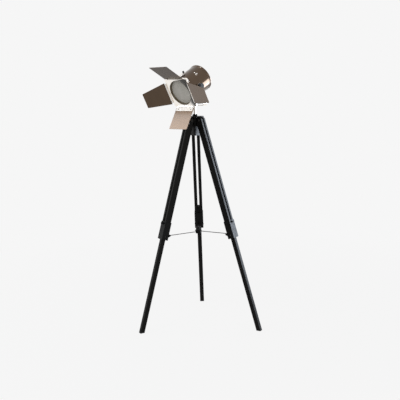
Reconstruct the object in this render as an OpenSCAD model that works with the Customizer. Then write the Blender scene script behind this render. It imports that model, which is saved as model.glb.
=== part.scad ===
// Tripod spotlight floor lamp with four barn doors, in its own frame: millimetres, +Z up, floor at
// Z = 0. The tripod's own axis stands at Y = axis_y, so that the origin is under the middle of the lamp.

/* [Tripod] */
// Radius of the circle that the three feet stand on
foot_r = 367; // [340:1:390]
// Height of the leg hinges above the floor
hinge_z = 1128; // [1100:1:1160]
// Radius of the leg hinges from the tripod's axis
hinge_r = 35; // [34:0.5:38]
// Length of the upper rails, from the hinge to their lower end
rail_len = 655; // [645:1:665]
// Width of one upper rail, across the leg
rail_w = 17; // [16:0.5:19]
// Depth of one upper rail, from the inside to the outside of the tripod
rail_d = 33; // [31:0.5:35]
// Gap between the two rails of a leg
rail_gap = 10.8; // [10.4:0.1:11]
// Side of the square lower leg
leg_side = 23.5; // [22:0.5:24]
// How far the lower leg reaches up between the rails
leg_overlap = 133; // [110:1:140]
// Distance of the tripod's axis behind the middle of the lamp's outline
axis_offset = 59.6; // [50:0.1:70]

/* [Spreader] */
// Radius at which the spreader arms hang on the legs
lug_r = 181; // [176:1:186]
// Height of the spreader above the floor
lug_z = 514; // [510:1:518]
// Width of a spreader strip
strip_w = 8; // [6:0.5:8]
// Thickness of a spreader strip
strip_t = 2; // [1.4:0.1:2.2]

/* [Hub and stem] */
// Radius of the round top plate
plate_r = 48; // [47:0.5:52]
// Radius of the polished stem
stem_r = 6.5; // [6:0.1:7]
// Height of the shoulder that carries the yoke
yoke_z = 1205; // [1200:1:1212]

/* [Lamp head] */
// Turn of the head to the left of straight ahead, in degrees
pan_angle = 43.65; // [40:0.05:48]
// Downward tilt of the head, in degrees
tilt_angle = 27; // [24:0.5:30]
// Distance of the tilt axis in front of the stem
pivot_forward = 38; // [34:1:40]
// Height of the tilt axis above the floor
pivot_z = 1309.5; // [1306:0.5:1314]
// Outer radius of the barrel
barrel_r = 72; // [70:0.5:73]
// Distance of the frame's front face ahead of the tilt axis
front_y = 73.8; // [70:0.2:78]
// Distance of the barrel's rear rim behind the tilt axis
rear_y = 100; // [96:1:104]
// Side of the square front frame
frame_side = 162.5; // [160:0.5:168]
// Radius of the opening for the lens
opening_r = 71; // [70:0.5:71.5]

/* [Barn doors] */
// Reach of the top and bottom doors from their hinges
long_door = 130; // [120:1:136]
// Reach of the side doors from their hinges
side_door = 140; // [125:1:144]
// Width of the top and bottom doors
long_door_w = 133; // [120:1:136]
// Width of a side door at its hinge
side_door_w = 126; // [118:1:132]
// Width of a side door at its free edge
side_door_tip_w = 84; // [70:1:100]
// Opening of the top, right, bottom and left doors, from edge-on to straight ahead, in degrees
door_open = [34, 11, 56, 37]; // [0:1:90]

/* [Hidden] */
$fn = 64;

slip = 0.05;      // radial clearance of a turning fit
gap = 0.3;        // side clearance between moving pieces
axis_y = -axis_offset;
leg_angle = atan((foot_r - hinge_r) / hinge_z);
leg_len = norm([foot_r - hinge_r, hinge_z]);
leg_az = [210, 330, 90];                       // left, right and rear leg
rail_out = rail_gap / 2 + rail_w;              // outer face of a rail
groove = leg_side / 2 + 0.4;                   // half the groove that guides the lower leg
lug_vec = [lug_r - hinge_r, hinge_z - lug_z];  // from the hinge outward and down to the lug pin
lug_x = lug_vec[0] * cos(leg_angle) - lug_vec[1] * sin(leg_angle);
lug_s = lug_vec[0] * sin(leg_angle) + lug_vec[1] * cos(leg_angle);
bolt_r = 4;
pin_r = 2;
wall = 2;                                      // wall of the leg brackets
clamp_s = 570;                                 // clamp screw, below the hinge along the leg
clamp_boss_h = 3;
clamp_turn = [60, 0, 20];                      // how far each thumb screw is turned
pad_h = 5;
strip_step = 3.6;                              // height between the spreader strips in their hub
strip_level = [0, strip_step, -strip_step];
hub_puck_r = 15;
hub_puck_h = 18;
plate_z = 1144.5;
plate_h = 5;
tip_r = 5;                                     // stem's turned-down tip
strap_t = 3;                                   // yoke's strip
yoke_in = 79;                                  // inner face of a yoke arm from the middle
yoke_w = 28;
shank_r = 5;                                   // tilt screws
frame_d = 12;
sheet = 1.5;
rim_r = 74;
tube_in = barrel_r - 1.2;
strap_top = frame_side / 2 - 1;                // outer face of the straps behind the frame
gland_z = -56;                                 // cable gland, below the lamp's axis
lens_back = 12;                                // lens behind the frame's front face
door_ahead = 2.7;                              // door hinge axis ahead of the frame's front face
hinge_up = frame_side / 2 + 0.6;
knuckle_r = 2.6;
hinge_pin_r = 1.4;
knuckle = 22;                                  // length of one hinge knuckle
leaf_half = 0.6;                               // half the thickness of a hinge leaf
leaf_w = [12, 12, 24, 12];                     // the bottom door's leaf lies inside, the others behind
sheet_y = [-1.6, -1.6, 0.6, -1.6];             // inner face of each door's sheet
rivet_x = 47;
door_turn = [0, 90, 180, 270];                 // top, right, bottom, left
door_reach = [long_door, side_door, long_door, side_door];
door_root_w = [long_door_w, side_door_w, long_door_w, side_door_w];
door_tip_w = [long_door_w, side_door_tip_w, long_door_w, side_door_tip_w];

wood = [0.09, 0.09, 0.09];
black = [0.07, 0.07, 0.07];
nickel = [0.82, 0.79, 0.74];
bronze = [0.33, 0.27, 0.2];
steel = [0.23, 0.22, 0.21];

// ---- where things stand ----

module at_axis() { translate([0, axis_y, 0]) children(); }

// Leg's own frame: origin on the hinge pin, -Z down the leg, +X outward, Y across the leg
module at_leg(i) {
    at_axis() rotate([0, 0, leg_az[i]]) translate([hinge_r, 0, hinge_z])
        rotate([0, -leg_angle, 0]) children();
}

// Spreader arm's frame: origin on the lug pin, +X outward and level
module at_lug(i) { at_axis() rotate([0, 0, leg_az[i]]) translate([lug_r, 0, lug_z]) children(); }

// Yoke's frame: -Y is the way the lamp looks, +X is the near side
module at_yoke() { at_axis() rotate([0, 0, -pan_angle]) children(); }

// Head's frame: origin on the tilt axis, -Y out of the lens, +X the near side
module at_head() {
    at_yoke() translate([0, -pivot_forward, pivot_z]) rotate([tilt_angle, 0, 0]) children();
}

// Hinge's frame: origin on the hinge axis, +Z outward in the plane of the frame
module at_hinge(i) {
    at_head() rotate([0, door_turn[i], 0]) translate([0, -front_y - door_ahead, hinge_up]) children();
}

// Door's frame: as the hinge's, but turned with the door; -Y is the door's inner side
module at_door(i) {
    at_hinge(i) rotate([door_open[i], 0, 0]) children();
}

// ---- shapes that repeat ----

module rod_x(r, x0, x1) { translate([x0, 0, 0]) rotate([0, 90, 0]) cylinder(r = r, h = x1 - x0); }
module rod_y(r, y0, y1) { translate([0, y0, 0]) rotate([-90, 0, 0]) cylinder(r = r, h = y1 - y0); }
module turned_y() { rotate([-90, 0, 0]) rotate_extrude($fn = 96) children(); }
module slab_y(y0, y1) {
    translate([0, y0, 0]) rotate([-90, 0, 0]) linear_extrude(y1 - y0) children();
}
module box(low, high) { translate(low) cube(high - low); }

module round_square(half, r) {
    square([2 * (half - r), 2 * half], center = true);
    square([2 * half, 2 * (half - r)], center = true);
    for (sx = [-1, 1], sy = [-1, 1]) translate([sx * (half - r), sy * (half - r)]) circle(r);
}

// Rectangle with its corners cut off
module cut_rect(a, b, c) {
    x = a / 2;
    y = b / 2;
    polygon([[x - c, -y], [x, -y + c], [x, y - c], [x - c, y],
             [-x + c, y], [-x, y - c], [-x, -y + c], [-x + c, -y]]);
}

// Disc on Z = 0 with both rims bevelled
module bevelled_disc(r, h, c) {
    rotate_extrude() polygon([[0, 0], [r - c, 0], [r, c], [r, h - c], [r - c, h], [0, h]]);
}

// Knob on Z = 0 with scallops round its rim
module fluted_knob(r, h, flutes) {
    difference() {
        bevelled_disc(r, h, 1.2);
        for (k = [0 : flutes - 1]) rotate([0, 0, k * 360 / flutes])
            translate([r * 1.18, 0, -1]) cylinder(r = r * 0.32, h = h + 2, $fn = 32);
    }
}

// Domed screw head on Z = 0
module dome_head(r, h) {
    cap = (r * r + h * h) / (2 * h);
    intersection() {
        cylinder(r = r, h = h + 1);
        translate([0, 0, h - cap]) sphere(cap);
    }
}

// ---- tripod head ----

module top_plate() {
    color(black) at_axis() translate([0, 0, plate_z]) difference() {
        bevelled_disc(plate_r, plate_h, 1);
        translate([0, 0, -1]) cylinder(r = stem_r + slip, h = plate_h + 2);
    }
}

// Three-sided block with a tongue for each leg; its flats face the legs
module hub_block() {
    flat = hinge_r - rail_d / 2 - 0.5;
    block_h = 98;
    tongue_r = 13;
    tongue_y = rail_gap / 2 - gap;
    color(black) at_axis() difference() {
        union() {
            translate([0, 0, plate_z - block_h]) intersection() {
                bevelled_disc(32, block_h, 2);
                linear_extrude(block_h)
                    polygon([for (az = leg_az) 2 * flat * [cos(az + 60), sin(az + 60)]]);
            }
            for (az = leg_az) rotate([0, 0, az]) {
                box([flat - 1, -tongue_y, hinge_z - 30], [hinge_r, tongue_y, hinge_z + tongue_r]);
                translate([hinge_r, 0, hinge_z]) rod_y(tongue_r, -tongue_y, tongue_y);
            }
        }
        translate([0, 0, plate_z - 60]) cylinder(r = stem_r + slip, h = 61);
        for (az = leg_az) rotate([0, 0, az]) translate([hinge_r, 0, hinge_z])
            rod_y(bolt_r + slip, -2 * tongue_y, 2 * tongue_y);
    }
}

module stem() {
    color(nickel) at_axis() {
        translate([0, 0, plate_z - 60]) cylinder(r = stem_r, h = yoke_z - plate_z + 60);
        translate([0, 0, yoke_z]) cylinder(r = tip_r, h = 11);
    }
}

module stem_collar() {
    h = 12;
    color(black) at_axis() translate([0, 0, plate_z + plate_h]) difference() {
        rotate_extrude() polygon([[0, 0], [14, 0], [14, 5], [12, 8], [9, h], [0, h]]);
        translate([0, 0, -1]) cylinder(r = stem_r + slip, h = h + 2);
    }
}

// Washer under the yoke, washer above it and the nut that holds them
module stem_nut() {
    washer = 1.2;
    above = yoke_z + washer + gap + strap_t + gap;
    color(nickel) at_axis() difference() {
        union() {
            translate([0, 0, yoke_z]) cylinder(r = 11, h = washer);
            translate([0, 0, above]) cylinder(r = 10, h = washer);
            translate([0, 0, above + washer]) cylinder(r = 8, h = 4.5, $fn = 6);
        }
        translate([0, 0, yoke_z - 1]) cylinder(r = tip_r + slip, h = 20);
    }
}

// Hinge bolts of the three legs, each with its nut
module pivot_bolts() {
    color(steel) for (i = [0 : 2]) at_leg(i) {
        rod_y(bolt_r, -rail_out - gap, rail_out + gap + 8);
        translate([0, -rail_out - gap, 0]) rotate([90, 0, 0]) dome_head(7.5, 4);
        difference() {
            translate([0, rail_out + gap, 0]) rotate([-90, 0, 0]) cylinder(r = 7.5, h = 6, $fn = 6);
            rod_y(bolt_r + slip, rail_out, rail_out + 8);
        }
    }
}

// ---- legs ----

// Upper rail: a grooved strip of wood with a round top end; side is 1 or -1 across the leg
module rail(i, side) {
    mid = side * (rail_gap / 2 + rail_w / 2);
    color(wood) at_leg(i) difference() {
        union() {
            translate([0, mid, -rail_len]) linear_extrude(rail_len) cut_rect(rail_d, rail_w, 1.5);
            translate([0, mid - rail_w / 2, 0]) rotate([-90, 0, 0]) bevelled_disc(rail_d / 2, rail_w, 1.5);
        }
        box([-groove, min(side * groove, side), -rail_len - 1],
            [groove, max(side * groove, side), -100]);
        translate([0, mid, 0]) rod_y(bolt_r + slip, -rail_w, rail_w);
    }
}

// Bracket: sleeve over the rails' ends, boss of the clamp screw, ears for the spreader
module bracket(i) {
    x = rail_d / 2 + slip;
    y = rail_out + slip;
    sleeve_s = [clamp_s - 10, rail_len + wall];
    ear_y = [strip_w / 2 + gap, strip_w / 2 + gap + 3];
    color(black) at_leg(i) difference() {
        union() {
            box([-x - wall, -y - wall, -sleeve_s[1]], [x + wall, y + wall, -sleeve_s[0]]);
            translate([0, 0, -clamp_s]) rod_x(6, x + 1, x + wall + clamp_boss_h);
            for (side = [-1, 1]) translate([0, side > 0 ? ear_y[0] : -ear_y[1], 0])
                ear(x, ear_y[1] - ear_y[0]);
        }
        box([-x, -y, -rail_len - slip], [x, y, -sleeve_s[0] + 1]);
        box([-groove, -groove, -rail_len - 10], [groove, groove, -600]);
        translate([0, 0, -clamp_s]) rod_x(3 + slip, 0, 40);
        translate([lug_x, 0, -lug_s]) rod_y(pin_r + slip, -20, 20);
    }
}

// One ear of the bracket, reaching inward to the spreader pin
module ear(x, t) {
    r = 6;
    rotate([-90, 0, 0]) linear_extrude(t) {
        translate([lug_x, lug_s]) circle(r);
        polygon([[lug_x - 1, lug_s - r], [-x - wall / 2, lug_s - r + 3], [-x - wall / 2, lug_s + 20],
                 [lug_x - 3, lug_s + r - 1]]);
    }
}

// Pin of the spreader arm and the two screws that hold the bracket to the rails
module leg_fasteners(i) {
    y = rail_out + slip + wall;
    ear_out = strip_w / 2 + gap + 3;
    color(steel) at_leg(i) {
        translate([lug_x, 0, -lug_s]) {
            rod_y(pin_r, -ear_out - 1.5, ear_out + 1.5);
            rod_y(3.4, ear_out, ear_out + 1.5);
            rod_y(3.4, -ear_out - 1.5, -ear_out);
        }
        for (side = [-1, 1]) translate([0, side * y, -640]) rotate([-side * 90, 0, 0]) dome_head(4, 2.2);
    }
}

module lower_leg(i) {
    color(wood) difference() {
        at_leg(i) translate([0, 0, -leg_len - 20]) linear_extrude(leg_len + 20 - rail_len + leg_overlap)
            cut_rect(leg_side, leg_side, 1.5);
        box([-500, -500, -60], [500, 500, pad_h]);
    }
}

module foot_pad(i) {
    color(black) intersection() {
        at_leg(i) translate([0, 0, -leg_len - 20]) linear_extrude(60) cut_rect(leg_side, leg_side, 1.5);
        box([-500, -500, 0], [500, 500, pad_h]);
    }
}

// Clamp screw with a flat thumb piece
module clamp_screw(i) {
    face = rail_d / 2 + slip + wall + clamp_boss_h;
    color(black) at_leg(i) translate([0, 0, -clamp_s]) {
        rod_x(3, leg_side / 2 + gap, face + 2);
        translate([face + gap, 0, 0]) {
            rod_x(4.5, 0, 3.5);
            rotate([clamp_turn[i], 0, 0]) intersection() {
                box([1, -6.5, -1.4], [11, 6.5, 1.4]);
                translate([4.5, 0, -2]) cylinder(r = 6.5, h = 4);
            }
        }
    }
}

// ---- spreader ----

// Strip from the lug pin through the hub; its end is turned up as a stop
module spreader_arm(i) {
    t = strip_t / 2;
    lev = strip_level[i];
    tail = -lug_r - hub_puck_r - 5;
    bend = [-5, -9];
    color(steel) at_lug(i) difference() {
        union() {
            rod_y(4, -strip_w / 2, strip_w / 2);
            slab_y(-strip_w / 2, strip_w / 2) mirror([0, 1]) polygon([[0, -t], [bend[0], -t],
                [bend[1], lev - t], [tail, lev - t], [tail, lev + 4], [tail + strip_t, lev + 4],
                [tail + strip_t, lev + t], [bend[1], lev + t], [bend[0], t], [0, t]]);
        }
        rod_y(pin_r + slip, -20, 20);
    }
}

// Round block with one cross slot for each strip, each at its own height
module spreader_hub() {
    slot_h = strip_t + 4.8;
    slot_w = strip_w + 2 * gap;
    color(black) at_axis() translate([0, 0, lug_z]) difference() {
        translate([0, 0, -hub_puck_h / 2]) bevelled_disc(hub_puck_r, hub_puck_h, 1);
        for (i = [0 : 2]) rotate([0, 0, leg_az[i]]) translate([0, 0, strip_level[i]])
            box([-20, -slot_w / 2, -slot_h / 2], [20, slot_w / 2, slot_h / 2]);
        translate([0, 0, strip_step]) cylinder(r = 2.5 + slip, h = 20);
    }
}

module spreader_knob() {
    top = hub_puck_h / 2;
    color(black) at_axis() translate([0, 0, lug_z]) {
        translate([0, 0, top - 2.3]) cylinder(r = 2.5, h = 4);
        translate([0, 0, top + gap]) fluted_knob(14, 19, 10);
    }
}

// ---- yoke and tilt screws ----

module yoke() {
    base = yoke_z + 1.2 + gap;
    outer = yoke_in + strap_t;
    bend = 10;
    lean = atan(pivot_forward / (pivot_z - base - strap_t / 2));
    color(nickel) at_yoke() difference() {
        intersection() {
            // the U as seen from the front
            slab_y(-80, 60) mirror([0, 1]) difference() {
                union() {
                    translate([-outer, base + bend]) square([2 * outer, 140]);
                    translate([-outer + bend, base]) square([2 * (outer - bend), 20]);
                    for (s = [-1, 1]) translate([s * (outer - bend), base + bend]) circle(bend);
                }
                translate([-yoke_in, base + bend]) square([2 * yoke_in, 160]);
                translate([-outer + bend, base + strap_t]) square([2 * (outer - bend), 20]);
                for (s = [-1, 1]) translate([s * (outer - bend), base + bend]) circle(bend - strap_t);
            }
            // the arms' outline as seen from the side
            rotate([90, 0, 90]) translate([0, 0, -100]) linear_extrude(200) {
                translate([-yoke_w / 2, base - 1]) square([yoke_w, 15]);
                translate([0, base + 14]) circle(yoke_w / 2);
                translate([0, base + strap_t / 2]) rotate(lean) translate([-yoke_w / 2 + 1, 12])
                    square([yoke_w - 2, norm([pivot_forward, pivot_z - base]) - 12]);
                translate([-pivot_forward, pivot_z]) circle(yoke_w / 2 + 1);
            }
        }
        translate([0, 0, base - 1]) cylinder(r = tip_r + slip, h = 10);
        translate([0, -pivot_forward, pivot_z]) rod_x(shank_r + slip, -100, 100);
    }
}

// Tilt screw: black knob outside the yoke arm, shank into the barrel's boss
module tilt_knob(side) {
    face = yoke_in + strap_t;
    color(black) at_head() rotate([0, side * 90, 0]) {
        translate([0, 0, barrel_r - 2]) cylinder(r = shank_r, h = face - barrel_r + 4);
        translate([0, 0, face + gap]) bevelled_disc(9, 4.2, 0.8);
        translate([0, 0, face + gap + 4]) fluted_knob(15, 14, 6);
    }
}

// ---- lamp head ----

module barrel() {
    tail = rear_y;
    color(bronze) at_head() difference() {
        union() {
            turned_y() polygon([[tube_in, sheet - front_y], [barrel_r, sheet - front_y],
                [barrel_r, tail - 16], [barrel_r + 1, tail - 15], [barrel_r + 1, tail - 12],
                [barrel_r, tail - 11], [barrel_r, tail - 7], [rim_r, tail - 5], [rim_r, tail - 1],
                [rim_r - 1, tail], [tube_in, tail]]);
            rod_x(11, tube_in, yoke_in - gap);
            rod_x(11, gap - yoke_in, -tube_in);
        }
        rod_x(shank_r + slip, -100, 100);
        for (a = [0, 180]) rotate([0, a, 0]) cylinder(r = 2 + slip, h = 100);
        at_switch() cylinder(r = 3 + slip, h = 20, center = true);
    }
}

module rear_cap() {
    y = rear_y;
    r = tube_in - slip;
    color(bronze) at_head() difference() {
        turned_y() polygon([[0, y - 1.5], [38, y - 1.5], [42, y - 5], [r, y - 5], [r, y - 16],
            [r - 1.2, y - 16], [r - 1.2, y - 6.4], [41.4, y - 6.4], [37.4, y - 2.9], [0, y - 2.9]]);
        for (k = [0 : 8]) rotate([0, 40 * k, 0]) box([-1.6, y - 20, 16], [1.6, y + 1, 34]);
        translate([0, 0, gland_z]) rod_y(6 + slip, y - 20, y + 1);
    }
}

// Screws: three through the barrel into the cap's skirt, one into the lamp holder's bracket and two
// through the cap into the lamp holder
module head_screws() {
    color(nickel) at_head() {
        for (a = [30, 150, 270]) rotate([0, a, 0]) translate([0, rear_y - 9, barrel_r]) dome_head(2.6, 1.8);
        rotate([0, 90 - 56.5, 0]) translate([0, 36, barrel_r]) dome_head(3.4, 2.4);
        for (side = [-1, 1]) translate([side * 9, rear_y - 1.5, 0]) rotate([-90, 0, 0]) dome_head(2.6, 1.6);
    }
}

// Cable gland: threaded bush and locknut in the rear cap
module cable_gland() {
    y = rear_y - 5;
    color(black) at_head() translate([0, 0, gland_z]) difference() {
        union() {
            rod_y(6, y - 8, y + 2);
            translate([0, y, 0]) rotate([-90, 0, 0]) cylinder(r = 8.5, h = 4, $fn = 6);
            turned_y() polygon([[0, y + 4], [7, y + 4], [7, y + 8], [5.5, y + 11], [0, y + 11]]);
            translate([0, y - 4.4, 0]) rotate([-90, 0, 0]) cylinder(r = 8.5, h = 3, $fn = 6);
        }
        rod_y(3.6, y - 10, y + 14);
    }
}

module reflector() {
    vertex = 42;
    focal = 10.7;
    t = 1.4;
    edge = 62;
    bowl = [for (r = [22 : 4 : edge]) [r, vertex - r * r / (4 * focal)]];
    lip = bowl[len(bowl) - 1][1];
    n = len(bowl);
    color([0.85, 0.85, 0.84]) at_head() turned_y()
        polygon(concat(bowl, [[tube_in - slip, lip], [tube_in - slip, lip + t], [edge + t, lip + t]],
            [for (k = [n - 1 : -1 : 0]) bowl[k] + [0.6, t]]));
}

module lamp_holder() {
    color([0.88, 0.86, 0.8]) at_head() difference() {
        turned_y() polygon([[0, 38], [18, 38], [19.5, 40], [19.5, 56], [16, 60], [16, 74], [0, 74]]);
        rod_y(13.6, 37, 66);
    }
}

// Strap that carries the lamp holder across the barrel
module holder_bracket() {
    x = 68;
    color(steel) at_head() rotate([0, -50, 0]) difference() {
        union() {
            box([-x, 74, -13], [x, 76, 13]);
            for (side = [-1, 1]) box([side > 0 ? x - 2 : -x, 24, -13], [side > 0 ? x : 2 - x, 75, 13]);
        }
        rod_y(4, 70, 80);
        rotate([0, 5.4, 0]) translate([0, 31.4, 0]) rod_x(6, 40, 80);
    }
}

// Switch's place: on the near upper side of the barrel, +Z out of the barrel
module at_switch() { rotate([0, 45.4, 0]) translate([0, 31.4, barrel_r]) children(); }

module switch_bush() {
    color(nickel) at_head() at_switch() difference() {
        union() {
            translate([0, 0, -12]) cylinder(r = 3, h = 14);
            translate([0, 0, 0.1]) cylinder(r = 5.2, h = 2, $fn = 6);
            box([-5, -6.5, -14], [5, 6.5, -6.6]);
        }
        translate([0, 0, -6]) cylinder(r = 2.3, h = 20);
    }
}

module switch_lever() {
    color(nickel) at_head() at_switch() rotate([-14, 0, 0]) {
        translate([0, 0, -3]) cylinder(r1 = 1, r2 = 1.9, h = 14);
        translate([0, 0, 11]) sphere(1.9);
    }
}

module bulb() {
    color([0.96, 0.96, 0.94]) at_head() turned_y()
        polygon([[0, -34], [8, -33], [16, -29.5], [23, -24], [28, -15], [30, -5], [28.5, 5], [23, 16],
                 [17, 26], [13.5, 36], [13.2, 60], [9, 63], [4, 65], [0, 65]]);
}

module lens() {
    back = lens_back - front_y;
    rise = 3;
    r = tube_in - 0.2;
    cap = (r * r + rise * rise) / (2 * rise);
    color([0.6, 0.6, 0.57]) at_head() intersection() {
        rod_y(r, back - rise, back + 4);
        translate([0, back - rise + cap, 0]) sphere(cap, $fn = 128);
    }
}

// Cone-shaped ring between the frame's face and the lens
module lens_bezel() {
    r = min(tube_in, opening_r) - 0.1;
    front = -front_y;
    back = lens_back - front_y - 0.5;
    color([0.3, 0.28, 0.24]) at_head() turned_y()
        polygon([[r - 0.8, front], [r, front], [r, back], [r - 4, back]]);
}

module front_frame() {
    half = frame_side / 2;
    color(nickel) at_head() difference() {
        slab_y(-front_y, frame_d - front_y) round_square(half, 4);
        slab_y(sheet - front_y, frame_d - sheet - front_y) round_square(half - sheet, 3);
        rod_y(opening_r, -front_y - 1, sheet + 1 - front_y);
        rod_y(barrel_r + slip, frame_d - sheet - 1 - front_y, frame_d + 1 - front_y);
    }
}

// Two straps that tie the frame to the barrel, above and below, each on a spacer
module frame_straps() {
    back = frame_d - front_y;
    low = strap_top - 2;
    color(nickel) at_head() for (a = [0, 180]) rotate([0, a, 0]) difference() {
        union() {
            box([-9, back, low], [9, 6, strap_top]);
            box([-9, back, low - 5.5], [9, back + 2, strap_top]);
            translate([0, 0, barrel_r + 0.1]) cylinder(r = 5, h = low - barrel_r);
        }
        cylinder(r = 2 + slip, h = 100);
    }
}

module strap_screws() {
    color(black) at_head() for (a = [0, 180]) rotate([0, a, 0]) {
        translate([0, 0, barrel_r - 3]) cylinder(r = 2, h = strap_top - barrel_r + 4);
        translate([0, 0, strap_top]) fluted_knob(5.5, 9, 8);
    }
}

// ---- barn doors ----

module knuckle_row(places, bore) {
    for (x = places) difference() {
        rod_x(knuckle_r, x - knuckle / 2 + gap / 2, x + knuckle / 2 - gap / 2);
        rod_x(bore, x - knuckle, x + knuckle);
    }
}

// Fixed leaf of each hinge, on the frame's edge, with three knuckles
module hinge_leaves() {
    fixed = [-2 * knuckle, 0, 2 * knuckle];
    color(nickel) for (i = [0 : 3]) at_hinge(i) difference() {
        union() {
            knuckle_row(fixed, hinge_pin_r + slip);
            for (x = fixed) box([x - knuckle / 2 + gap / 2, 0, -leaf_half],
                                [x + knuckle / 2 - gap / 2, 4, leaf_half]);
            box([-2.5 * knuckle, knuckle_r + 0.6, -leaf_half],
                [2.5 * knuckle, frame_d + door_ahead - 1, leaf_half]);
        }
        rod_x(hinge_pin_r + slip, -100, 100);
    }
}

module hinge_pins() {
    color(steel) for (i = [0 : 3]) at_hinge(i) rod_x(hinge_pin_r, -2.5 * knuckle - 1, 2.5 * knuckle + 1);
}

// Moving leaf: two knuckles, a plate along the door's root and two rivets
module door_leaf(i) {
    moving = [-knuckle, knuckle];
    half = door_root_w[i] / 2 - 5;
    rivet_y = min(sheet_y[i], -leaf_half);
    color(nickel) at_door(i) {
        difference() {
            union() {
                knuckle_row(moving, hinge_pin_r + slip);
                for (x = moving) box([x - knuckle / 2 + gap / 2, -leaf_half, 0],
                                     [x + knuckle / 2 - gap / 2, leaf_half, 5]);
                box([-half, -leaf_half, knuckle_r + 0.6], [half, leaf_half, leaf_w[i]]);
            }
            rod_x(hinge_pin_r + slip, -100, 100);
        }
        for (s = [-1, 1]) translate([s * rivet_x, rivet_y, leaf_w[i] / 2 + 2]) rotate([90, 0, 0])
            dome_head(2.6, 1);
    }
}

// Door: sheet with a folded hem round its three free edges
module door(i) {
    w0 = door_root_w[i] / 2;
    w1 = door_tip_w[i] / 2;
    z0 = knuckle_r + 3;
    z1 = door_reach[i];
    hem = 4;
    color(bronze) at_door(i) {
        slab_y(sheet_y[i], sheet_y[i] + 1) mirror([0, 1])
            polygon([[-w0, z0], [w0, z0], [w1, z1], [-w1, z1]]);
        slab_y(sheet_y[i] + 0.9, sheet_y[i] + 1.8) mirror([0, 1]) difference() {
            polygon([[-w0, z0], [w0, z0], [w1, z1], [-w1, z1]]);
            polygon([[-w0 + hem, z0 - 1], [w0 - hem, z0 - 1], [w1 - hem, z1 - hem], [-w1 + hem, z1 - hem]]);
        }
    }
}

// ---- the nodes ----

top_plate();
hub_block();
stem();
stem_collar();
stem_nut();
pivot_bolts();
rail(0, 1);  // left_rail_front
rail(0, -1);  // left_rail_back
bracket(0);  // left_bracket
leg_fasteners(0);  // left_fasteners
lower_leg(0);  // left_lower_leg
foot_pad(0);  // left_foot_pad
clamp_screw(0);  // left_clamp_screw
spreader_arm(0);  // left_spreader_arm
rail(1, -1);  // right_rail_front
rail(1, 1);  // right_rail_back
bracket(1);  // right_bracket
leg_fasteners(1);  // right_fasteners
lower_leg(1);  // right_lower_leg
foot_pad(1);  // right_foot_pad
clamp_screw(1);  // right_clamp_screw
spreader_arm(1);  // right_spreader_arm
rail(2, 1);  // rear_rail_left
rail(2, -1);  // rear_rail_right
bracket(2);  // rear_bracket
leg_fasteners(2);  // rear_fasteners
lower_leg(2);  // rear_lower_leg
foot_pad(2);  // rear_foot_pad
clamp_screw(2);  // rear_clamp_screw
spreader_arm(2);  // rear_spreader_arm
spreader_hub();
spreader_knob();
yoke();
tilt_knob(1);  // near_tilt_knob
tilt_knob(-1);  // far_tilt_knob
barrel();
rear_cap();
head_screws();
cable_gland();
reflector();
lamp_holder();
holder_bracket();
switch_bush();
switch_lever();
bulb();
lens();
lens_bezel();
front_frame();
frame_straps();
strap_screws();
hinge_leaves();
hinge_pins();
door(0);  // top_door
door(1);  // right_door
door(2);  // bottom_door
door(3);  // left_door
door_leaf(0);  // door_leaf_top
door_leaf(1);  // door_leaf_right
door_leaf(2);  // door_leaf_bottom
door_leaf(3);  // door_leaf_left
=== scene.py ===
"""Tripod spotlight floor lamp: the looks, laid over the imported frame. Metres, +Z up, floor at Z = 0.

The script follows the lamp as it is put together: camera and studio, tripod head with its stem, legs,
spreader, yoke, then the lamp head from its barrel to its front frame, and at last the four barn doors.
"""

import math

import bmesh
import bpy
from mathutils import Matrix, Vector


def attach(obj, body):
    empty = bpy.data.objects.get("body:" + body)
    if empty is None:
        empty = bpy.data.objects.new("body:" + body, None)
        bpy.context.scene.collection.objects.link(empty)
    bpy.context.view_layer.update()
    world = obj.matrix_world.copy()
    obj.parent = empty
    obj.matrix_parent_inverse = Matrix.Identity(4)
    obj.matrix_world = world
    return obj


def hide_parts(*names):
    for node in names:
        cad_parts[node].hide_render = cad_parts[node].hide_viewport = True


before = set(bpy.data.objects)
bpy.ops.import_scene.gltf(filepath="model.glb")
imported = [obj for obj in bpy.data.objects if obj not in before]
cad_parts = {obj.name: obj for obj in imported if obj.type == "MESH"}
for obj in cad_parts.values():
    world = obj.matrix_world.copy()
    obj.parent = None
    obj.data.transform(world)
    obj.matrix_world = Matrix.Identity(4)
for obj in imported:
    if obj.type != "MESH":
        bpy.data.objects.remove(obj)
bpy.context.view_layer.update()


# ---- Camera ----
# A short telephoto lens a little under four metres away, at the height of the lamp head. It looks
# slightly down and is rolled by less than two degrees, as the photograph is.
CAMERA_PLACE = (0.108, -3.8774, 1.318)
CAMERA_YAW = 1.408          # degrees, to the left of straight ahead
CAMERA_PITCH = -9.336
CAMERA_ROLL = -1.688
LENS_MM, PICTURE_MM = 63.27, 36

camera = bpy.data.objects.new("camera", bpy.data.cameras.new("camera"))
camera.data.lens = LENS_MM
camera.data.sensor_width = PICTURE_MM
turn = (Matrix.Rotation(math.radians(CAMERA_YAW), 4, "Z")
        @ Matrix.Rotation(math.radians(90 + CAMERA_PITCH), 4, "X")
        @ Matrix.Rotation(math.radians(CAMERA_ROLL), 4, "Z"))
camera.matrix_world = Matrix.Translation(CAMERA_PLACE) @ turn
bpy.context.collection.objects.link(camera)
bpy.context.scene.camera = camera
bpy.context.scene.view_settings.view_transform = "Standard"


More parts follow.
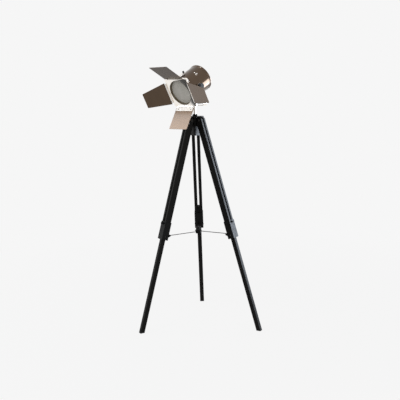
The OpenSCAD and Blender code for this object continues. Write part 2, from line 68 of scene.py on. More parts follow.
# ---- Studio ----
# A wide pale floor and a pale surround, lit by softboxes. The camera sees both as plain white, and the
# floor keeps the lamp's shadow. Only the plated metal sees painted shade on the floor, dark to the front
# left, and white paper behind the lamp with a painted pool of light and one of shade.
BACKDROP = (0.922, 0.922, 0.922, 1)
AMBIENT = 0.62
SHADOW_COVER, SHADOW_FADES = 0.96, (0.8, 2.4)           # the floor's white over its shadow; metres away
FRONT_SHADE_TONES, FRONT_FADES = (0.06, 0.85), (-1.45, -0.75)     # painted shade in reflections: nearly black at the left, paler from there on
PAPER_FROM, PAPER_SLANT, PAPER_BLUR = 0.135, 0.093, 0.02    # the near edge of the white paper
LIGHT_AND_SHADE_POOLS = (((-2.08, 1.25, 0), 0.75, 1.25), ((-0.86, 1.6, 0), 0.7, 0.48))    # painted light and shade in reflections: place, reach, level
FLOOR_RADIUS = 40
LAMP_HEAD = (-0.03, -0.08, 1.3)         # where the softboxes point


def nodes_of(tree):
    """Empties a node tree and gives a short way to add and join its nodes."""
    tree.nodes.clear()

    def add(kind, **inputs):
        node = tree.nodes.new(kind)
        for name, value in inputs.items():
            if hasattr(node, name):
                setattr(node, name, value)
            else:
                node.inputs[name.replace("_", " ")].default_value = value
        return node

    return add, tree.links.new


def spread(add, link, value, low, high, start=0.3, end=0.7):
    """Maps a value from start..end onto low..high, and holds it beyond both."""
    node = add("ShaderNodeMapRange", From_Min=start, From_Max=end, To_Min=low, To_Max=high)
    link(value, node.inputs[0])
    return node.outputs[0]


def times(add, link, first, second):
    """The product of two values."""
    node = add("ShaderNodeMath", operation="MULTIPLY")
    link(first, node.inputs[0])
    link(second, node.inputs[1])
    return node.outputs[0]


def blended(add, link, amount, first, second, kind="RGBA"):
    """The first where amount is 0 and the second where it is 1: each a colour, a number or a socket."""
    node = add("ShaderNodeMix", data_type=kind)
    link(amount, node.inputs[0])
    at, out = (6, 2) if kind == "RGBA" else (2, 0)
    for socket, value in ((node.inputs[at], first), (node.inputs[at + 1], second)):
        if isinstance(value, (tuple, int, float)):
            socket.default_value = value
        else:
            link(value, socket)
    return node.outputs[out]


def seen_directly(add, link):
    """1 for a ray from the camera, a reflection or glass, and 0 for light itself."""
    path = add("ShaderNodeLightPath")
    seen = path.outputs["Is Camera Ray"]
    for ray in ("Is Glossy Ray", "Is Transmission Ray"):
        more = add("ShaderNodeMath", operation="MAXIMUM")
        link(seen, more.inputs[0])
        link(path.outputs[ray], more.inputs[1])
        seen = more.outputs[0]
    return seen


def shown_over(add, link, lit, white, amount, output):
    """Lays the white that is seen directly over the shader that takes the light."""
    either = add("ShaderNodeMixShader")
    link(amount, either.inputs[0])
    link(lit.outputs[0], either.inputs[1])
    link(white.outputs[0], either.inputs[2])
    link(either.outputs[0], add(output).inputs[0])


def metres_from(add, link, place, point):
    """How far a place is from a fixed point."""
    node = add("ShaderNodeVectorMath", operation="DISTANCE")
    link(place, node.inputs[0])
    node.inputs[1].default_value = point
    return node.outputs["Value"]


world = bpy.data.worlds.new("studio")
world.use_nodes = True
bpy.context.scene.world = world
add, link = nodes_of(world.node_tree)
around = add("ShaderNodeBackground", Strength=AMBIENT)
shown = add("ShaderNodeBackground", Color=BACKDROP, Strength=1)
shown_over(add, link, around, shown, seen_directly(add, link), "ShaderNodeOutputWorld")

floor_finish = bpy.data.materials.new("studio_floor")
floor_finish.use_nodes = True
add, link = nodes_of(floor_finish.node_tree)
paint = add("ShaderNodeBsdfDiffuse", Color=BACKDROP)
glow = add("ShaderNodeEmission", Color=BACKDROP)
place = add("ShaderNodeNewGeometry").outputs["Position"]
along = add("ShaderNodeSeparateXYZ")
link(place, along.inputs[0])
behind = add("ShaderNodeMath", operation="MULTIPLY_ADD")
link(along.outputs["X"], behind.inputs[0])
behind.inputs[1].default_value = PAPER_SLANT
link(along.outputs["Y"], behind.inputs[2])
on_paper = spread(add, link, behind.outputs[0], 0, 1, PAPER_FROM - PAPER_BLUR, PAPER_FROM + PAPER_BLUR)
# The floor's glow in reflections: a painted pool of light and one of shade on the paper, and painted shade
# in front of it.
pools = [spread(add, link, metres_from(add, link, place, pool), level, 1, reach / 2, reach)
         for pool, reach, level in LIGHT_AND_SHADE_POOLS]
front = spread(add, link, along.outputs["X"], *FRONT_SHADE_TONES, *FRONT_FADES)
in_metal = blended(add, link, on_paper, front, times(add, link, *pools), "FLOAT")
to_camera = add("ShaderNodeLightPath").outputs["Is Camera Ray"]
link(blended(add, link, to_camera, in_metal, 1, "FLOAT"), glow.inputs["Strength"])
cover = spread(add, link, metres_from(add, link, place, (0, 0, 0)), SHADOW_COVER, 1, *SHADOW_FADES)
shown_over(add, link, paint, glow, times(add, link, seen_directly(add, link), cover),
           "ShaderNodeOutputMaterial")
bpy.ops.mesh.primitive_circle_add(vertices=96, radius=FLOOR_RADIUS, fill_type="NGON")
floor = bpy.context.object
floor.name = "studio_floor"
floor.data.materials.append(floor_finish)


def softbox(name, place, width, height, watts, tint=(1, 1, 1), roll=0, lights=True):
    """A rectangular lamp turned towards the lamp head; without lights, it shows only in the metal."""
    lamp = bpy.data.lights.new(name, "AREA")
    lamp.shape = "RECTANGLE"
    lamp.size, lamp.size_y = width, height
    lamp.energy = watts
    lamp.color = tint
    box = bpy.data.objects.new(name, lamp)
    box.visible_diffuse = lights
    box.location = place
    facing = (Vector(LAMP_HEAD) - Vector(place)).to_track_quat("-Z", "Y")
    box.rotation_euler = (facing.to_matrix() @ Matrix.Rotation(math.radians(roll), 3, "Z")).to_euler()
    bpy.context.collection.objects.link(box)


softbox("key_softbox", (-2.6, -2.2, 3.0), 1.6, 1.6, 44)
softbox("fill_softbox", (2.4, -2.8, 1.6), 1.2, 1.8, 14)
# This one's edge follows the bottom door's hinge leaf, so it brightens the door and not the leaf.
softbox("left_softbox", (-2.927, 0.184, 2.636), 1.5, 1.2, 25, tint=(0.95, 1, 1.08), roll=41.2)
softbox("right_panel", (2.17, 1.146, 1.088), 2.3, 1.45, 105, tint=(0.9, 1, 1.14), roll=26, lights=False)


# ---- Tripod head ----
# A round top plate and a three-sided cast block with a tongue for each leg, in satin black enamel.
# The turned collar at the foot of the stem hides where the stem is pressed into them.
BLACK_ENAMEL = (0.0042, 0.0041, 0.004, 1)
ENAMEL_WORN = (0.022, 0.021, 0.02, 1)
WEAR_SHOWS = (0.86, 0.995)      # how far an edge turns, as a cosine, for its wear to show
WEAR_PATCH, WEAR_BREAKS = 0.009, (0.42, 0.62)
CLOSED_GAP, SHARP_EDGE = 0.000004, 32       # metres, degrees


def grainy(add, link, size, stretch=(1, 1, 1), detail=4, turn=(0, 0, 0)):
    """A noise pattern in the piece's own coordinates; size is in metres, stretch along each axis."""
    where = add("ShaderNodeTexCoord")
    laid = add("ShaderNodeMapping", Scale=[1 / (size * s) for s in stretch])
    turned_to = add("ShaderNodeMapping", Rotation=turn)
    noise = add("ShaderNodeTexNoise", Scale=1, Detail=detail)
    link(where.outputs["Object"], turned_to.inputs[0])
    link(turned_to.outputs[0], laid.inputs[0])
    link(laid.outputs[0], noise.inputs["Vector"])
    return noise.outputs["Fac"]


def worn_edges(add, link, radius):
    """1 along rounded-over edges, where handling polishes the finish, broken up by a noise."""
    edge = add("ShaderNodeBevel", samples=4, Radius=radius)
    flat = add("ShaderNodeNewGeometry")
    turn_between = add("ShaderNodeVectorMath", operation="DOT_PRODUCT")
    link(edge.outputs[0], turn_between.inputs[0])
    link(flat.outputs["Normal"], turn_between.inputs[1])
    bare = spread(add, link, turn_between.outputs["Value"], 1, 0, *WEAR_SHOWS)
    broken = spread(add, link, grainy(add, link, WEAR_PATCH), 0, 1, *WEAR_BREAKS)
    return times(add, link, bare, broken)


def bumped(add, link, shader, height, depth):
    """Raises a pattern on the shader's surface by depth, in metres."""
    bump = add("ShaderNodeBump", Strength=1, Distance=depth)
    link(height, bump.inputs["Height"])
    link(bump.outputs[0], shader.inputs["Normal"])


def finish_named(name, **sockets):
    """A new material with one shader and its constants: gives it, the shader, add and link."""
    finish = bpy.data.materials.new(name)
    finish.use_nodes = True
    add, link = nodes_of(finish.node_tree)
    coat = add("ShaderNodeBsdfPrincipled", **sockets)
    link(coat.outputs[0], add("ShaderNodeOutputMaterial").inputs[0])
    return finish, coat, add, link


black_enamel, coat, add, link = finish_named("black_enamel", Specular_IOR_Level=0.1)
link(blended(add, link, worn_edges(add, link, 0.0008), BLACK_ENAMEL, ENAMEL_WORN), coat.inputs["Base Color"])
link(spread(add, link, grainy(add, link, 0.02), 0.32, 0.5), coat.inputs["Roughness"])
bumped(add, link, coat, grainy(add, link, 0.0016, detail=1), 0.00003)


def round_over(shape, width):
    """Closes the mesh, rounds its sharp edges over and keeps its flat faces flat."""
    weld = shape.modifiers.new("closed", "WELD")
    weld.merge_threshold = CLOSED_GAP
    edges = shape.modifiers.new("rounded_edges", "BEVEL")
    edges.width = width
    edges.segments = 2
    edges.limit_method = "ANGLE"
    edges.angle_limit = math.radians(SHARP_EDGE)
    edges.harden_normals = False
    even = shape.modifiers.new("flat_faces", "WEIGHTED_NORMAL")
    even.keep_sharp = True


def dress(nodes, finish, ease=0.0):
    """Gives CAD nodes their finish; ease rounds their sharp edges over by that many metres."""
    for node in nodes:
        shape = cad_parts[node]
        for slot in shape.material_slots:
            slot.material = finish
        for face in shape.data.polygons:
            face.use_smooth = True
        if ease:
            round_over(shape, ease)


dress(["top_plate", "hub_block", "stem_collar"], black_enamel, 0.0006)


# ---- Hinge bolts ----
# Blackened steel bolts with domed heads and hexagon nuts, one through each tongue and its two rails.
# The same steel makes the spreader pins, the hinge pins and the strap that carries the lamp holder.
BLACK_STEEL = (0.018, 0.017, 0.016, 1)
STEEL_RUBBED = (0.12, 0.115, 0.11, 1)

black_steel, coat, add, link = finish_named("blackened_steel", Metallic=1)
rubbed = spread(add, link, grainy(add, link, 0.004), 0, 0.5, 0.5, 0.75)
link(blended(add, link, rubbed, BLACK_STEEL, STEEL_RUBBED), coat.inputs["Base Color"])
link(spread(add, link, grainy(add, link, 0.006), 0.3, 0.5), coat.inputs["Roughness"])
dress(["pivot_bolts"], black_steel, 0.0004)


# ---- Stem ----
# A polished nickel-plated tube that stands in the block and ends in a threaded tip. The yoke turns
# between two washers on its shoulder, under a hexagon nut.
NICKEL = (0.97, 0.94, 0.9, 1)
NICKEL_WARM = (0.92, 0.86, 0.78, 1)


def nickel_plate(name, stretch, rough=(0.06, 0.12)):
    """Polished nickel with hair-fine polishing lines along the long direction of stretch."""
    finish, coat, add, link = finish_named(name, Metallic=1)
    warmer = spread(add, link, grainy(add, link, 0.03), 0, 1)
    link(blended(add, link, warmer, NICKEL, NICKEL_WARM), coat.inputs["Base Color"])
    lines = grainy(add, link, 0.0009, stretch, 3)
    link(spread(add, link, lines, *rough), coat.inputs["Roughness"])
    bumped(add, link, coat, lines, 0.000001)
    return finish


stem_nickel = nickel_plate("nickel_stem", (1, 1, 40))
dress(["stem", "stem_nut"], stem_nickel, 0.0004)


# ---- Legs ----
# Two grooved upper rails of stained and lacquered wood hold the square lower leg between them. The
# grain runs down each leg, and the lacquer has thinned a little along the edges.
FOOT_R, HINGE_R, HINGE_Z = 0.367, 0.035, 1.128
LEG_AZIMUTH = {"left": 210, "right": 330, "rear": 90}
LEG_ANGLE = math.degrees(math.atan((FOOT_R - HINGE_R) / HINGE_Z))
RAILS = {"left": ["left_rail_front", "left_rail_back"], "right": ["right_rail_front", "right_rail_back"],
         "rear": ["rear_rail_left", "rear_rail_right"]}
STAIN_DARK = (0.0022, 0.0021, 0.002, 1)
STAIN_LIGHT = (0.0068, 0.0063, 0.0058, 1)
BARE_WOOD = (0.035, 0.024, 0.016, 1)


def black_wood(side):
    """Black stained wood with its grain along that leg."""
    down_the_leg = (Matrix.Rotation(math.radians(LEG_ANGLE), 4, "Y")
                    @ Matrix.Rotation(math.radians(-LEG_AZIMUTH[side]), 4, "Z")).to_euler()
    finish, coat, add, link = finish_named("black_wood_" + side, Specular_IOR_Level=0.09)
    fibres = grainy(add, link, 0.0011, (1, 1, 55), 5, down_the_leg)
    figure = grainy(add, link, 0.006, (1, 1, 22), 3, down_the_leg)
    lighter = spread(add, link, times(add, link, fibres, figure), 0, 1, 0.12, 0.4)
    stain = blended(add, link, lighter, STAIN_DARK, STAIN_LIGHT)
    link(blended(add, link, worn_edges(add, link, 0.0012), stain, BARE_WOOD), coat.inputs["Base Color"])
    link(spread(add, link, figure, 0.4, 0.56), coat.inputs["Roughness"])
    bumped(add, link, coat, fibres, 0.00005)
    return finish


for side, rails in RAILS.items():
    dress(rails + [side + "_lower_leg"], black_wood(side), 0.0005)


# ---- Leg brackets, clamp screws and feet ----
# A folded steel sleeve closes the lower end of each pair of rails. It carries the spreader's ears and
# the thumb screw that clamps the lower leg, which ends in a pad of matt rubber.
BLACK_PLASTIC = (0.006, 0.006, 0.006, 1)
RUBBER = (0.009, 0.009, 0.009, 1)


def mottled(name, colours, patches, gloss, gloss_patches, bumps=None, **sockets):
    """A finish in one colour, or two in patches, with an uneven gloss and, where given, fine bumps.

    patches and gloss_patches are a size in metres and a detail; bumps is a size, a detail and a height.
    """
    finish, coat, add, link = finish_named(name, **sockets)
    if len(colours) == 1:
        coat.inputs["Base Color"].default_value = colours[0]
    else:
        size, detail = patches
        second = spread(add, link, grainy(add, link, size, detail=detail), 0, 1)
        link(blended(add, link, second, *colours), coat.inputs["Base Color"])
    size, detail = gloss_patches
    link(spread(add, link, grainy(add, link, size, detail=detail), *gloss), coat.inputs["Roughness"])
    if bumps:
        size, detail, height = bumps
        bumped(add, link, coat, grainy(add, link, size, detail=detail), height)
    return finish


black_plastic = mottled("black_plastic", [BLACK_PLASTIC], None, (0.34, 0.46), (0.008, 4),
                        bumps=(0.0006, 2, 0.00002), Specular_IOR_Level=0.25)
foot_rubber = mottled("foot_rubber", [RUBBER], None, (0.7, 0.95), (0.003, 4),
                      bumps=(0.0008, 3, 0.00008), Specular_IOR_Level=0.15)
for side in LEG_AZIMUTH:
    dress([side + "_bracket"], black_enamel, 0.0006)
    dress([side + "_fasteners"], black_steel, 0.0003)
    dress([side + "_clamp_screw"], black_plastic, 0.0004)
    dress([side + "_foot_pad"], foot_rubber, 0.0005)


# ---- Spreader ----
# Three flat strips of enamelled steel, each pinned to its leg's bracket, cross in the slots of a round
# block. A fluted moulded knob on top of the block locks them.
dress(["left_spreader_arm", "right_spreader_arm", "rear_spreader_arm"], black_enamel, 0.0002)
dress(["spreader_hub"], black_enamel, 0.0005)
dress(["spreader_knob"], black_plastic, 0.0006)


# ---- Yoke ----
# One strap of nickel-plated steel bent to a U, with rounded ends where the tilt screws go through.
# Black moulded knobs on the screws clamp the lamp head at its tilt.
dress(["yoke"], nickel_plate("nickel_yoke", (1, 1, 30)), 0.0007)
dress(["near_tilt_knob", "far_tilt_knob"], black_plastic, 0.0007)


# ---- Barrel ----
# A spun steel tube with two rolled beads and a rolled rear rim, plated in antique bronze and polished.
# Welded bosses at its sides take the tilt screws; all of the lamp head is built round this tube.
AXIS_Y, PAN, TILT = -0.0596, 43.65, 27.0
PIVOT_FORWARD, PIVOT_Z = 0.038, 1.3095
AT_HEAD = (Matrix.Translation((0, AXIS_Y, 0)) @ Matrix.Rotation(math.radians(-PAN), 4, "Z")
           @ Matrix.Translation((0, -PIVOT_FORWARD, PIVOT_Z)) @ Matrix.Rotation(math.radians(TILT), 4, "X"))
BARREL_R, TUBE_WALL, FRONT_Y, REAR_Y = 0.072, 0.0012, 0.0738, 0.1
INSIDE_R = BARREL_R - TUBE_WALL
FRONT_BEAD_Y, FRONT_BEAD = -0.0504, 0.0008
REAR_BEAD_Y, REAR_BEAD, REAR_BEAD_SUNK, REAR_BEAD_FOOT = REAR_Y - 0.0135, 0.0016, 0.0006, 0.0023
RIM_R, RIM_START_Y, RIM_Y = 0.074, REAR_Y - 0.0075, REAR_Y - 0.0036
RIM_ROLL, LIP_ROLL, LIP_EASE = 0.0024, 0.0016, 0.0006
BOSS_R, BOSS_BORE, BOSS_END, WELD_OUT = 0.011, 0.00505, 0.0787, 0.002
FRAME_SHEET = 0.0015
BRONZE = (0.09, 0.056, 0.032, 1)
BRONZE_DARK = (0.056, 0.034, 0.02, 1)
BRONZE_RUBBED = (0.2, 0.145, 0.1, 1)
FOLDED_EDGE = 38            # degrees, where the shading splits


def antique_bronze(name, stretch, cloud_and_shade=0.35, turn=(0, 0, 0)):
    """Lacquered antique bronze plate, with faint cloudy darkening and bright rubbed edges."""
    finish, coat, add, link = finish_named(name, Metallic=1, Coat_Weight=0.5, Coat_Roughness=0.06)
    # The clouds darken the bronze by up to the given amount: a random tone, and on the barn doors also
    # painted shade.
    clouds = spread(add, link, grainy(add, link, 0.035, detail=5), 0, cloud_and_shade, 0.35, 0.75)
    toned = blended(add, link, clouds, BRONZE, BRONZE_DARK)
    link(blended(add, link, worn_edges(add, link, 0.0006), toned, BRONZE_RUBBED), coat.inputs["Base Color"])
    lines = grainy(add, link, 0.0008, stretch, 3, turn)
    link(spread(add, link, lines, 0.13, 0.24), coat.inputs["Roughness"])
    bumped(add, link, coat, lines, 0.0000015)
    return finish


def flat_faces(piece):
    """Splits the shading at sharp corners, and keeps wide faces flat between rounded ones."""
    piece.data.set_sharp_from_angle(angle=math.radians(FOLDED_EDGE))
    even = piece.modifiers.new("flat_faces", "WEIGHTED_NORMAL")
    even.keep_sharp = True
    even.weight = 100


def build(name, corners, faces, place, finish, body, slot_name, stands_for=(), ease=0.0):
    """Makes a piece from its corners and faces, in the coordinates of place, and hangs it on a body."""
    mesh = bpy.data.meshes.new(name)
    mesh.from_pydata(corners, [], faces)
    shape = bmesh.new()
    shape.from_mesh(mesh)
    bmesh.ops.remove_doubles(shape, verts=shape.verts, dist=0.000002)
    bmesh.ops.dissolve_degenerate(shape, edges=shape.edges, dist=0.000001)
    bmesh.ops.recalc_face_normals(shape, faces=shape.faces)
    shape.to_mesh(mesh)
    shape.free()
    for face in mesh.polygons:
        face.use_smooth = True
    mesh.materials.append(finish)
    piece = bpy.data.objects.new(name, mesh)
    piece.matrix_world = place
    bpy.context.collection.objects.link(piece)
    round_over(piece, ease) if ease else flat_faces(piece)
    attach(piece, body)
    if stands_for:
        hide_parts(*stands_for)
    return piece


def turned(profile, steps=128, about="Y"):
    """Corners and faces of a ring turned from a closed profile of (radius, height) points."""
    corners, faces = [], []
    for k in range(steps):
        c, s = math.cos(2 * math.pi * k / steps), math.sin(2 * math.pi * k / steps)
        for radius, height in profile:
            corners.append({"Y": (radius * c, height, radius * s), "Z": (radius * c, radius * s, height),
                            "X": (height, radius * c, radius * s)}[about])
    count = len(profile)
    for k in range(steps):
        here, there = k * count, (k + 1) % steps * count
        for n in range(count):
            after = (n + 1) % count
            faces.append((here + n, here + after, there + after, there + n))
    return corners, faces


def arc(centre, radius, start, end, steps=8):
    """Points of an arc in a profile, from one angle to the other in degrees."""
    angles = [math.radians(start + (end - start) * k / steps) for k in range(steps + 1)]
    return [(centre[0] + radius * math.cos(a), centre[1] + radius * math.sin(a)) for a in angles]


barrel_bronze = antique_bronze("bronze_barrel", (1, 60, 1))
outline = [(INSIDE_R, FRAME_SHEET - FRONT_Y), (BARREL_R, FRAME_SHEET - FRONT_Y),
           (BARREL_R, FRONT_BEAD_Y - 2 * FRONT_BEAD)]
outline += arc((BARREL_R, FRONT_BEAD_Y), FRONT_BEAD, -80, 80)
outline += [(BARREL_R, FRONT_BEAD_Y + 2 * FRONT_BEAD), (BARREL_R, REAR_BEAD_Y - REAR_BEAD_FOOT)]
outline += arc((BARREL_R - REAR_BEAD_SUNK, REAR_BEAD_Y), REAR_BEAD, -68, 68)
outline += [(BARREL_R, REAR_BEAD_Y + REAR_BEAD_FOOT), (BARREL_R, RIM_START_Y)]
outline += arc((RIM_R - RIM_ROLL, RIM_Y), RIM_ROLL, -60, 0)
outline += arc((RIM_R - LIP_ROLL, REAR_Y - LIP_ROLL), LIP_ROLL, 0, 90)
outline += arc((INSIDE_R + LIP_EASE, REAR_Y - LIP_EASE), LIP_EASE, 90, 180)
build("barrel_tube", *turned(outline, 160), AT_HEAD, barrel_bronze, "lamp_head", "bronze", ["barrel"])
for side, way in (("near", 1), ("far", -1)):
    boss = [(BOSS_BORE, INSIDE_R + 0.0004), (BOSS_R + WELD_OUT, INSIDE_R),
            (BOSS_R + 0.0006, BARREL_R + 0.0006), (BOSS_R, BARREL_R + 0.0016),
            (BOSS_R, BOSS_END - 0.0007), (BOSS_R - 0.0007, BOSS_END), (BOSS_BORE, BOSS_END)]
    outwards = [(radius, way * out) for radius, out in boss]
    build(side + "_tilt_boss", *turned(outwards, 64, "X"), AT_HEAD, barrel_bronze, "lamp_head", "bronze",
          ease=0.0003)


# ---- Rear cap and cable gland ----
# A pressed bronze disc with a raised centre and nine cooling slots, held by three screws through the
# barrel. The lead goes in through a black threaded gland low in the disc.
screw_nickel = nickel_plate("nickel_screws", (1, 1, 1))
dress(["rear_cap"], antique_bronze("bronze_cap", (1, 60, 1)), 0.0004)
dress(["cable_gland"], black_plastic, 0.0004)
dress(["head_screws"], screw_nickel, 0.0003)


# ---- Lamp holder, bulb and reflector ----
# A glazed porcelain holder sits on a steel strap across the barrel. The opal bulb stands in a spun
# aluminium reflector whose bright bowl is peened with small dimples.
PORCELAIN = [(0.8, 0.76, 0.67, 1), (0.7, 0.64, 0.53, 1)]
OPAL_GLASS = [(0.86, 0.85, 0.81, 1), (0.8, 0.79, 0.75, 1)]
ALUMINIUM = (0.82, 0.82, 0.81, 1)
DIMPLES_PER_METRE, DIMPLE_DEEP = 320, 0.0006
GLOBE_R, GLOBE_Y = 0.03, -0.004
BULB_NECK = [(0.0176, 0.0245), (0.0148, 0.031), (0.0135, 0.036), (0.0133, 0.045), (0.0133, 0.058),
             (0.0122, 0.06), (0.008, 0.063), (0.005, 0.0648), (0, 0.065)]
BOWL_BACK, BOWL_FOCUS, BOWL_HOLE, BOWL_R, BOWL_STEPS = 0.042, 0.0107, 0.022, 0.062, 20
SPUN_WALL, BOWL_GAP = 0.0014, 0.0001

porcelain = mottled("cream_porcelain", PORCELAIN, (0.012, 4), (0.22, 0.34), (0.004, 4),
                    Coat_Weight=0.6, Coat_Roughness=0.08)
dress(["lamp_holder"], porcelain, 0.0006)
dress(["holder_bracket"], black_steel, 0.0004)

opal = mottled("opal_glass", OPAL_GLASS, (0.02, 4), (0.2, 0.3), (0.01, 4), Subsurface_Weight=0.4,
               Subsurface_Scale=0.01, Coat_Weight=0.7, Coat_Roughness=0.05)
bulb_outline = arc((0, GLOBE_Y), GLOBE_R, -90, 42, 24) + BULB_NECK
build("opal_bulb", *turned(bulb_outline, 64), AT_HEAD, opal, "lamp_head", "bulb_glass", ["bulb"])

peened, coat, add, link = finish_named("peened_aluminium", Metallic=1, Base_Color=ALUMINIUM)
dimples = add("ShaderNodeTexVoronoi", Scale=DIMPLES_PER_METRE, feature="SMOOTH_F1")
link(add("ShaderNodeTexCoord").outputs["Object"], dimples.inputs["Vector"])
link(spread(add, link, grainy(add, link, 0.01), 0.16, 0.28), coat.inputs["Roughness"])
bumped(add, link, coat, dimples.outputs["Distance"], DIMPLE_DEEP)
bowl_radii = [BOWL_HOLE + (BOWL_R - BOWL_HOLE) * k / BOWL_STEPS for k in range(BOWL_STEPS + 1)]
bowl = [(r, BOWL_BACK - r * r / (4 * BOWL_FOCUS)) for r in bowl_radii]
lip = bowl[-1][1]
reflector = bowl + [(INSIDE_R - 0.0005, lip), (INSIDE_R - BOWL_GAP, lip + 0.0004),
                    (INSIDE_R - BOWL_GAP, lip + SPUN_WALL), (BOWL_R + SPUN_WALL, lip + SPUN_WALL)]
reflector += [(r + 0.0006, y + SPUN_WALL) for r, y in reversed(bowl)]
build("peened_reflector", *turned(reflector, 128), AT_HEAD, peened, "lamp_head", "reflector_aluminium",
      ["reflector"])


# ---- Toggle switch ----
# A nickel-plated brass toggle on the near upper side of the barrel. Its bush goes through the tube and
# is held by a hexagon nut; the lever rocks in it.
dress(["switch_bush", "switch_lever"], screw_nickel, 0.0003)


# ---- Frosted lens and its ring ----
# A slightly domed disc of frosted glass, held 12 mm behind the frame's face by a dark cone-shaped ring
# that is pressed into the barrel.
FROST = [(0.4, 0.382, 0.345, 1), (0.35, 0.338, 0.298, 1)]
RING = [(0.2, 0.16, 0.105, 1), (0.11, 0.09, 0.055, 1)]
LENS_BACK, LENS_RISE, LENS_THICK, LENS_EASE = 0.012, 0.003, 0.004, 0.0004
LENS_R, LENS_STEPS = INSIDE_R - 0.0002, 20

frosted = mottled("frosted_glass", FROST, (0.06, 1), (0.4, 0.5), (0.01, 2), IOR=1.5, Specular_IOR_Level=0.35)
edge_y = LENS_BACK - FRONT_Y
lens = [(LENS_R * k / LENS_STEPS, edge_y - LENS_RISE * (1 - (k / LENS_STEPS) ** 2))
        for k in range(LENS_STEPS + 1)]
lens += [(LENS_R, edge_y + LENS_THICK - LENS_EASE), (LENS_R - LENS_EASE, edge_y + LENS_THICK),
         (0, edge_y + LENS_THICK)]
build("frosted_lens", *turned(lens, 128), AT_HEAD, frosted, "lamp_head", "frosted_glass", ["lens"])
dress(["lens_bezel"], mottled("dark_ring", RING, (0.01, 4), (0.3, 0.45), (0.003, 4), Metallic=0.6))


# ---- Front frame and its straps ----
# A pressed steel tray, nickel plated, with a round opening and rounded corners. Two straps tie it to
# the barrel above and below, each on a spacer under a black thumb screw.
FRAME_SIDE, FRAME_DEPTH, OPENING_R = 0.1625, 0.012, 0.071
CORNER_R, INNER_CORNER_R, PRESSED_EDGE, COLLAR_GAP = 0.004, 0.003, 0.0012, 0.00005


def square_ring(half, radius, y, steps=128):
    """Points of a rounded square, each in the direction of the matching point of a circle."""
    points = []
    for k in range(steps):
        a = 2 * math.pi * (k + 0.5) / steps
        c, s = math.cos(a), math.sin(a)
        flat = half - radius
        reach = half / max(abs(c), abs(s))
        x, z = reach * c, reach * s
        if abs(x) > flat and abs(z) > flat:
            cx, cz = math.copysign(flat, x), math.copysign(flat, z)
            b = c * cx + s * cz
            reach = b + math.sqrt(max(b * b - (cx * cx + cz * cz - radius * radius), 0))
            x, z = reach * c, reach * s
        points.append((x, y, z))
    return points


def round_ring(radius, y, steps=128):
    """Points of a circle about the lamp's axis."""
    angles = [2 * math.pi * (k + 0.5) / steps for k in range(steps)]
    return [(radius * math.cos(a), y, radius * math.sin(a)) for a in angles]


def skinned(rings, closed=True):
    """Corners and faces of a skin over rings of equally many points."""
    corners = [point for ring in rings for point in ring]
    count, faces = len(rings[0]), []
    for n in range(len(rings) if closed else len(rings) - 1):
        here, there = n * count, (n + 1) % len(rings) * count
        for k in range(count):
            after = (k + 1) % count
            faces.append((here + k, here + after, there + after, there + k))
    return corners, faces


half, front, back = FRAME_SIDE / 2, -FRONT_Y, FRAME_DEPTH - FRONT_Y
opening = [(0.0005, FRAME_SHEET), (0, FRAME_SHEET * 0.7), (0.0001, 0.0004), (0.0006, 0)]
outer_wall = [(1, front), (0.4, front + PRESSED_EDGE * 0.15), (0.1, front + PRESSED_EDGE * 0.5),
              (0, front + PRESSED_EDGE), (0, back - PRESSED_EDGE),
              (0.3, back - PRESSED_EDGE * 0.3), (1, back)]
rings = [round_ring(OPENING_R + wider, front + y) for wider, y in opening]
rings += [square_ring(half - PRESSED_EDGE * drawn, CORNER_R - PRESSED_EDGE * drawn, y)
          for drawn, y in outer_wall]
rings += [round_ring(BARREL_R + COLLAR_GAP, y) for y in (back, back - FRAME_SHEET)]
rings += [square_ring(half - FRAME_SHEET, INNER_CORNER_R, y)
          for y in (back - FRAME_SHEET, front + FRAME_SHEET)]
frame_nickel = nickel_plate("nickel_frame", (30, 1, 1), rough=(0.03, 0.06))
build("frame_tray", *skinned(rings), AT_HEAD, frame_nickel, "lamp_head", "nickel", ["front_frame"])
dress(["frame_straps"], frame_nickel, 0.0005)
dress(["strap_screws"], black_plastic, 0.0004)


# ---- Barn doors ----
# Four sheets of bronze-plated steel with a folded hem round their free edges. Each is riveted to a
# nickel hinge leaf, and its knuckles and those of the frame's leaf turn on one pin.
DOOR_AHEAD, HINGE_UP, SHEET, HEM = 0.0027, FRAME_SIDE / 2 + 0.0006, 0.001, 0.004
WIDE = {"reach": 0.13, "root": 0.133, "tip": 0.133}
TAPERED = {"reach": 0.14, "root": 0.126, "tip": 0.084}
DOORS = {       # turn round the frame and opening in degrees; the last value is painted shade, darker cloudy plating on the doors that face away from the light, none on the bottom door
    "top": {**WIDE, "turn": 0, "open": 34, "leaf": 0.012, "sheet_at": -0.0016, "cloud_and_shade": 0.7},
    "right": {**TAPERED, "turn": 90, "open": 11, "leaf": 0.012, "sheet_at": -0.0016, "cloud_and_shade": 0.1},
    "bottom": {**WIDE, "turn": 180, "open": 56, "leaf": 0.024, "sheet_at": 0.0006, "cloud_and_shade": 0.0},
    "left": {**TAPERED, "turn": 270, "open": 37, "leaf": 0.012, "sheet_at": -0.0016, "cloud_and_shade": 0.3},
}
ROOT_Z, ROOT_CORNER, TIP_CORNER, SMALLEST_CORNER, CORNER_STEPS = 0.0056, 0.0006, 0.004, 0.0008, 8
LEAF_HALF, RIVET_X, RIVET_PAST_MIDDLE = 0.0006, 0.047, 0.002
RIVET = [(0, -0.0014), (0.0012, -0.0013), (0.0023, -0.0009), (0.003, -0.0002),
         (0.003, 0.0001), (0, 0.0001)]
# The hem in section: in from the free edges, in from the root, and the level above the sheet's face.
HEM_FOLD = [(HEM + 0.0004, 0.0002, SHEET), (HEM, 0.0002, SHEET + 0.0002), (HEM - 0.0001, 0.0002, 0.0016),
            (HEM - 0.0004, 0.0002, 0.0018), (0.0006, 0.0002, 0.0018), (0.0002, 0.0001, 0.0015),
            (0, 0, 0.0011), (0, 0, 0.0006), (0.0002, 0.0001, 0.0002), (0.0005, 0.0003, 0)]


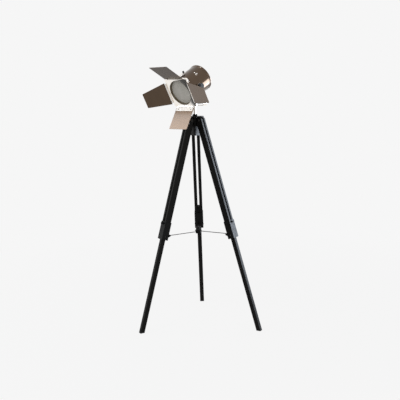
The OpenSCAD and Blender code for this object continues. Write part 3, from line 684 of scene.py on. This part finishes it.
def door_outline(door, hem_in, root_in, corner):
    """The door's outline, drawn in by hem_in at its free edges and root_in at its root."""
    low, high = ROOT_Z + root_in, door["reach"] - hem_in
    slope = (door["tip"] - door["root"]) / 2 / (door["reach"] - ROOT_Z)
    across = hem_in * math.sqrt(1 + slope * slope)

    def edge(z):
        return door["root"] / 2 + slope * (z - ROOT_Z) - across

    ends = [(edge(low), low, ROOT_CORNER), (edge(high), high, corner), (-edge(high), high, corner),
            (-edge(low), low, ROOT_CORNER)]
    points = []
    for n, (x, z, radius) in enumerate(ends):
        before, after = Vector(ends[n - 1][:2]), Vector(ends[(n + 1) % 4][:2])
        here = Vector((x, z))
        a, b = (before - here).normalized(), (after - here).normalized()
        half_angle = a.angle(b) / 2
        run = radius / math.tan(half_angle)
        start, end = here + a * run, here + b * run
        middle = here + (a + b).normalized() * (radius / math.sin(half_angle))
        for k in range(CORNER_STEPS + 1):
            swing = start.lerp(end, k / CORNER_STEPS)
            points.append(middle + (swing - middle).normalized() * radius)
    return points


leaf_nickel = nickel_plate("nickel_leaf", (30, 1, 1), rough=(0.03, 0.05))
for side, door in DOORS.items():
    place = (AT_HEAD @ Matrix.Rotation(math.radians(door["turn"]), 4, "Y")
             @ Matrix.Translation((0, -FRONT_Y - DOOR_AHEAD, HINGE_UP))
             @ Matrix.Rotation(math.radians(door["open"]), 4, "X"))
    y = door["sheet_at"]
    rings = [[(p.x, y + level, p.y)
              for p in door_outline(door, hem_in, root_in, max(TIP_CORNER - hem_in, SMALLEST_CORNER))]
             for hem_in, root_in, level in HEM_FOLD]
    corners, faces = skinned(rings, closed=False)
    count = len(rings[0])
    faces += [tuple(range(count)), tuple(range(len(corners) - count, len(corners)))]
    corners = [tuple(place @ Vector(corner)) for corner in corners]
    along_door = place.to_3x3().inverted().to_euler()
    # Each door's plating takes its own painted shade from the table above, through the darkness of its
    # clouds.
    bronze = antique_bronze("bronze_" + side + "_door", (60, 1, 1), door["cloud_and_shade"], along_door)
    sheet = build(side + "_barn_door", corners, faces, Matrix(), bronze, side + "_barn_door", "bronze",
                  [side + "_door"])
    # The left door is kept out of reflections, where it would darken the bottom door's bright plating.
    sheet.visible_glossy = side != "left"
    dress(["door_leaf_" + side], leaf_nickel)
    for n, across in enumerate((-RIVET_X, RIVET_X)):
        at = Matrix.Translation((across, min(y, -LEAF_HALF), door["leaf"] / 2 + RIVET_PAST_MIDDLE))
        build(f"{side}_door_rivet_{n + 1}", *turned(RIVET, 24), place @ at, black_steel,
              side + "_barn_door", "bolt_steel")
dress(["hinge_leaves"], leaf_nickel)
dress(["hinge_pins"], black_steel)
